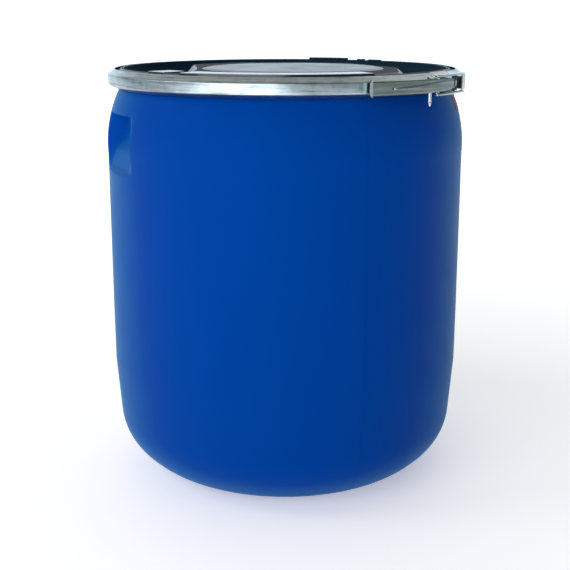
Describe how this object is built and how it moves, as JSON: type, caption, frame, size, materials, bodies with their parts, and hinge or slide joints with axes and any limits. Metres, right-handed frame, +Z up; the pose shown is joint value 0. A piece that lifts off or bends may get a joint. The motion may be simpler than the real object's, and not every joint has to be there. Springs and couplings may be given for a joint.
{
  "type": "open head drum",
  "caption": "Round plastic open head drum with moulded hand grips, plug lid and a metal clamp ring closed by a swinging lever with a locking pin.",
  "frame": {"origin": "centre of the base, on the floor that the drum stands on", "axes": "+Z up along the drum's axis; -Y is the front, and the lever lock is at the front right, between -Y and +X"},
  "size_m": [0.5959, 0.596, 0.6905],
  "materials": {
    "blue_plastic": "satin blow-moulded polyethylene",
    "red_label": "smooth printed film",
    "black_plastic": "semi-gloss moulded plastic",
    "gasket_rubber": "matt foam rubber",
    "galvanised_band": "galvanised, lightly streaked",
    "bracket_steel": "galvanised pressing",
    "lever_steel": "galvanised pressing, duller",
    "link_steel": "zinc plated",
    "pin_steel": "zinc plated"
  },
  "bodies": {
    "drum": {"drum_body": "blue_plastic", "shoulder_label": "red_label"},
    "lid": {"lid": "black_plastic", "lid_gasket": "gasket_rubber"},
    "clamp_ring": {"clamp_band": "galvanised_band", "lever_bracket": "bracket_steel"},
    "ring_end_b": {"hook_bracket": "bracket_steel"},
    "lever": {"lever": "lever_steel", "lever_pivot_pin": "pin_steel"},
    "link": {"link_strap": "link_steel", "link_rivets": "pin_steel"},
    "locking_pin": {"locking_pin": "pin_steel"}
  },
  "joints": [
    {"name": "lid_lift", "type": "slide", "parent": "drum", "child": "lid", "axis": [0, 0, 1], "range_m": [0, 0.2]},
    {"name": "ring_lift", "type": "slide", "parent": "lid", "child": "clamp_ring", "axis": [0, 0, 1], "range_m": [0, 0.12], "deforming": ["clamp_band"]},
    {"name": "lever_swing", "type": "hinge", "parent": "clamp_ring", "child": "lever", "pos_m": [0.25828, -0.15766, 0.6695], "axis": [0, 0, 1], "range_deg": [0, 100]},
    {"name": "link_swing", "type": "hinge", "parent": "lever", "child": "link", "pos_m": [0.22733, -0.19972, 0.6695], "axis": [0, 0, 1], "range_deg": [-58.63, 0]},
    {"name": "band_spread", "type": "hinge", "parent": "clamp_ring", "child": "ring_end_b", "pos_m": [-0.25859, 0.1404, 0.67], "axis": [0, 0, 1], "range_deg": [0, 3.45], "deforming": ["clamp_band"]},
    {"name": "pin_pull", "type": "slide", "parent": "lever", "child": "locking_pin", "axis": [0, 0, 1], "range_m": [0, 0.05]}
  ],
  "couplings": [
    {"joint": "link_swing", "follows": "lever_swing", "ratio": -0.5853},
    {"joint": "band_spread", "follows": "lever_swing", "ratio": 0.03399}
  ]
}
